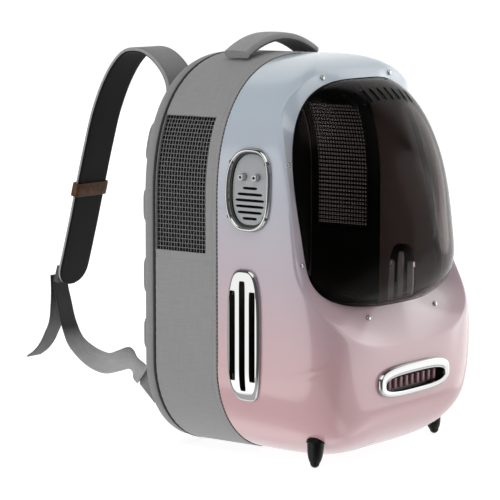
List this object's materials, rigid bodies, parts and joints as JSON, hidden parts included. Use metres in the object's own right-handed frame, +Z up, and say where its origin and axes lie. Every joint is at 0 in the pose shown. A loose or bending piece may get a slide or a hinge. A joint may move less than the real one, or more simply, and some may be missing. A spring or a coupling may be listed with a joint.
{
  "type": "pet carrier backpack",
  "caption": "Pet carrier backpack with a moulded front shell, smoked dome window, fabric gusset with net windows, padded back, carry handle and shoulder straps.",
  "frame": {"origin": "middle of the flat fabric base, on the surface that the carrier stands on", "axes": "+Z up, the window faces -Y, the padded back faces +Y, the wearer's left is -X"},
  "size_m": [0.3156, 0.519, 0.4611],
  "materials": {
    "shell_gloss": "glossy, pale blue at the top fading to pink at the bottom",
    "smoke_window": "clear smoke-brown tint, polished",
    "chrome_trim": "polished bright plating",
    "vent_grey": "satin grey",
    "tray_black": "matt black",
    "fin_pink": "satin dull pink",
    "foot_rubber": "satin black",
    "fabric_grey": "plain woven grey",
    "net_grey": "open square net",
    "piping_black": "matt black cord piping",
    "padding_grey": "spacer mesh over foam",
    "strap_grey": "woven grey outside, dark spacer mesh inside",
    "keeper_leather": "smooth brown",
    "webbing_grey": "ribbed woven tape",
    "buckle_black": "moulded black"
  },
  "bodies": {
    "carrier": {"front_shell": "shell_gloss", "window_dome": "smoke_window", "vent_frame": "chrome_trim", "vent_plate": "vent_grey", "grille_frame": "chrome_trim", "grille_tray": "tray_black", "grille_fins": "fin_pink", "side_gusset": "fabric_grey", "back_piping": "piping_black", "back_panel": "padding_grey", "top_pad": "padding_grey", "carry_handle": "strap_grey", "window_screw_1": "chrome_trim", "window_screw_2": "chrome_trim", "window_screw_3": "chrome_trim", "window_screw_4": "chrome_trim", "window_screw_5": "chrome_trim", "window_screw_6": "chrome_trim", "window_screw_7": "chrome_trim", "window_screw_8": "chrome_trim", "vent_screw_1": "chrome_trim", "vent_screw_2": "chrome_trim", "vent_screw_3": "chrome_trim", "vent_screw_4": "chrome_trim", "side_louvre_left": "chrome_trim", "front_foot_left": "foot_rubber", "mesh_panel_left": "net_grey", "back_pad_left_1": "padding_grey", "back_pad_left_2": "padding_grey", "back_pad_left_3": "padding_grey", "back_pad_left_4": "padding_grey", "back_pad_left_5": "padding_grey", "shoulder_strap_left": "strap_grey", "strap_keeper_left": "keeper_leather", "strap_buckle_left": "buckle_black", "lower_webbing_left": "webbing_grey", "webbing_tail_left": "webbing_grey", "anchor_tab_left": "webbing_grey", "side_louvre_right": "chrome_trim", "front_foot_right": "foot_rubber", "mesh_panel_right": "net_grey", "back_pad_right_1": "padding_grey", "back_pad_right_2": "padding_grey", "back_pad_right_3": "padding_grey", "back_pad_right_4": "padding_grey", "back_pad_right_5": "padding_grey", "shoulder_strap_right": "strap_grey", "strap_keeper_right": "keeper_leather", "strap_buckle_right": "buckle_black", "lower_webbing_right": "webbing_grey", "webbing_tail_right": "webbing_grey", "anchor_tab_right": "webbing_grey"},
    "button_1": {"vent_button_1": "chrome_trim"},
    "button_2": {"vent_button_2": "chrome_trim"}
  },
  "joints": [
    {"name": "button_1_press", "type": "slide", "parent": "carrier", "child": "button_1", "axis": [1, 0, 0], "range_m": [0, 0.002], "stiffness_N_per_m": 400},
    {"name": "button_2_press", "type": "slide", "parent": "carrier", "child": "button_2", "axis": [1, 0, 0], "range_m": [0, 0.002], "stiffness_N_per_m": 400}
  ]
}
